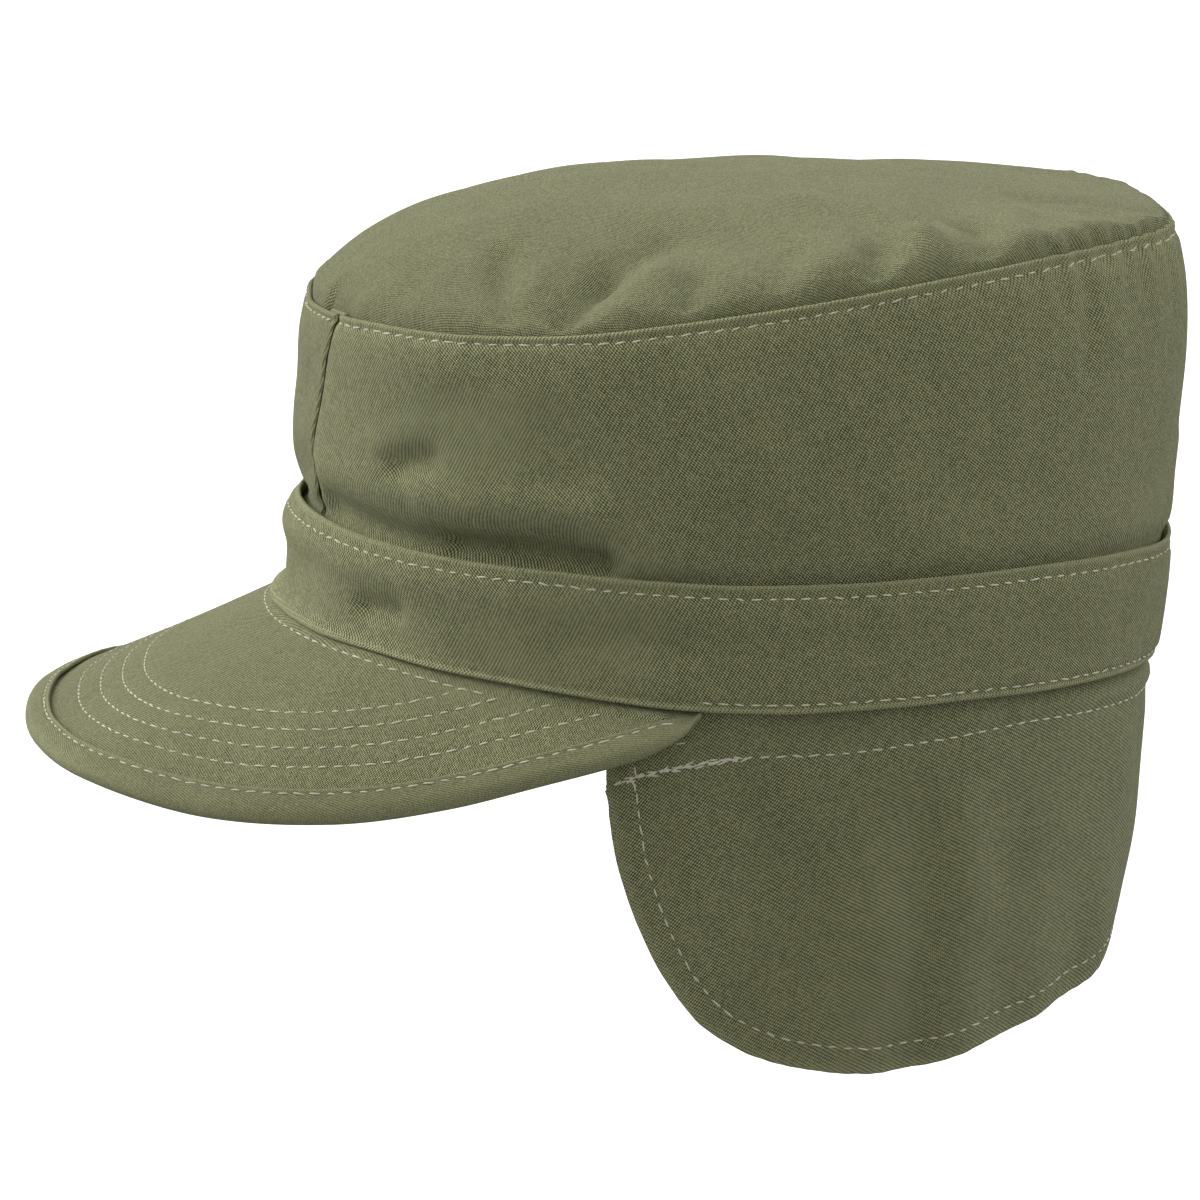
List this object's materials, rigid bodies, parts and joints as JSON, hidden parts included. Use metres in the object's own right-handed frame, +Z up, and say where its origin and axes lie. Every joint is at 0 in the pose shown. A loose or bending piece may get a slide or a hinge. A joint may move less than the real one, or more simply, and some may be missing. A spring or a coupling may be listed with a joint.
{
  "type": "patrol cap",
  "caption": "Soft field cap with a flat-sided crown, domed top, raised band, curved stitched visor and a fold-down flap hanging over the ears and neck.",
  "frame": {"origin": "middle of the head opening, level with the band's lower edge over the ears", "axes": "+Z up towards the crown, -Y towards the visor, +X towards the wearer's left ear"},
  "size_m": [0.1786, 0.273, 0.1973],
  "materials": {
    "crown_twill": "olive drab poly-cotton twill",
    "band_twill": "olive drab poly-cotton twill, two layers",
    "visor_twill": "olive drab poly-cotton twill over a stiffener",
    "binding_twill": "olive drab poly-cotton twill strip",
    "flap_twill": "olive drab poly-cotton twill, two layers"
  },
  "bodies": {
    "root": {"crown_top": "crown_twill", "crown_front": "crown_twill", "crown_side": "crown_twill", "band": "band_twill", "visor": "visor_twill", "visor_binding": "binding_twill", "flap": "flap_twill"}
  },
  "joints": []
}
